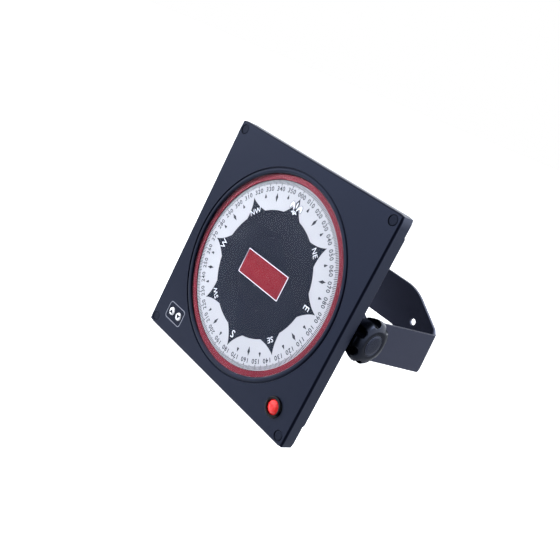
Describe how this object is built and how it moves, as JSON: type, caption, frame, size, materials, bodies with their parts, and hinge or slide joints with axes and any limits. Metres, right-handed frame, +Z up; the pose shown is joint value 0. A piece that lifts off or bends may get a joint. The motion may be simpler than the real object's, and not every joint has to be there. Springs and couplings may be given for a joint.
{
  "type": "marine heading repeater",
  "caption": "Square panel instrument with a rotating compass card round a fixed digital window, tilting between two clamp knobs on a flat steel trunnion bracket.",
  "frame": {"origin": "middle of the bracket base strip's rear face, level with the knob axis", "axes": "+X right as seen by the reader, +Z up, dial faces -Y and looks up by 6.5 degrees; the bracket bolts to a bulkhead at +Y"},
  "size_m": [0.2052, 0.1598, 0.192],
  "materials": {
    "bracket_paint": "satin powder coat, very dark blue-grey",
    "case_paint": "satin fine-textured paint, dark blue-grey",
    "cover_paint": "satin paint",
    "plug_black": "matte",
    "rubber": "matte",
    "steel": "satin",
    "aluminium": "satin",
    "brass": "machined",
    "window": "clear polished acrylic",
    "red_ring": "satin translucent red",
    "dial_dark": "matte",
    "card_white": "matte, back-lit",
    "display_red": "satin red filter",
    "dark_plastic": "matte",
    "circuit_board": "satin solder mask",
    "white_board": "satin",
    "green_plastic": "matte",
    "gear_plastic": "matte",
    "motor_paint": "satin",
    "lamp": "gloss",
    "label_black": "matte film",
    "key_white": "satin",
    "gloss_black": "gloss",
    "lens_red": "gloss translucent red",
    "knob_black": "satin moulded",
    "knob_cap": "satin"
  },
  "bodies": {
    "bracket": {"bracket": "bracket_paint"},
    "instrument": {"friction_washers": "rubber", "front_bezel": "case_paint", "corner_plugs": "plug_black", "corner_screws": "steel", "window_glass": "window", "red_ring": "red_ring", "centre_disc": "dial_dark", "display_window": "display_red", "digit_module": "dark_plastic", "display_board": "circuit_board", "display_carrier": "dark_plastic", "chassis_plate": "aluminium", "chassis_pillars": "steel", "stepper_motor": "motor_paint", "backlight_board": "white_board", "backlight_lamps": "lamp", "main_board": "circuit_board", "board_spacers": "steel", "terminal_block": "green_plastic", "rear_housing": "case_paint", "front_gasket": "rubber", "rear_cover": "cover_paint", "cover_gasket": "rubber", "cover_screws": "steel", "pivot_inserts": "brass", "cable_gland": "dark_plastic", "gland_nut": "dark_plastic", "gland_locknut": "dark_plastic", "keypad_label": "label_black", "key_board": "circuit_board", "button_bezel": "gloss_black", "button_nut": "dark_plastic", "button_switch": "dark_plastic"},
    "card": {"compass_card": "card_white", "card_hub": "aluminium", "card_gear": "gear_plastic"},
    "pinion": {"motor_shaft": "steel", "pinion": "brass"},
    "key_up": {"key_up": "key_white"},
    "key_down": {"key_down": "key_white"},
    "push_button": {"button_lens": "lens_red"},
    "right_knob": {"right_knob": "knob_black", "right_knob_cap": "knob_cap", "right_knob_stud": "steel", "right_knob_washer": "steel"},
    "left_knob": {"left_knob": "knob_black", "left_knob_cap": "knob_cap", "left_knob_stud": "steel", "left_knob_washer": "steel"}
  },
  "joints": [
    {"name": "instrument_tilt", "type": "hinge", "parent": "bracket", "child": "instrument", "pos_m": [0, -0.1156, 0], "axis": [-1, 0, 0], "range_deg": [-58, 72]},
    {"name": "card_spin", "type": "hinge", "parent": "instrument", "child": "card", "pos_m": [0, -0.14541, 0.0034], "axis": [0, -0.9936, 0.1132], "continuous": true},
    {"name": "pinion_spin", "type": "hinge", "parent": "instrument", "child": "pinion", "pos_m": [0, -0.14454, -0.04199], "axis": [0, -0.9936, 0.1132], "continuous": true},
    {"name": "key_up_press", "type": "slide", "parent": "instrument", "child": "key_up", "axis": [0, 0.9936, -0.1132], "range_m": [0, 0.0005], "stiffness_N_per_m": 800, "springref_m": -0.0006},
    {"name": "key_down_press", "type": "slide", "parent": "instrument", "child": "key_down", "axis": [0, 0.9936, -0.1132], "range_m": [0, 0.0005], "stiffness_N_per_m": 800, "springref_m": -0.0006},
    {"name": "button_press", "type": "slide", "parent": "instrument", "child": "push_button", "axis": [0, 0.9936, -0.1132], "range_m": [0, 0.0014], "stiffness_N_per_m": 600, "springref_m": -0.001},
    {"name": "right_knob_turn", "type": "hinge", "parent": "instrument", "child": "right_knob", "pos_m": [0.09, -0.1156, 0], "axis": [1, 0, 0], "range_deg": [0, 360]},
    {"name": "left_knob_turn", "type": "hinge", "parent": "instrument", "child": "left_knob", "pos_m": [-0.09, -0.1156, 0], "axis": [-1, 0, 0], "range_deg": [0, 360]}
  ],
  "couplings": [
    {"joint": "pinion_spin", "follows": "card_spin", "ratio": -4}
  ]
}
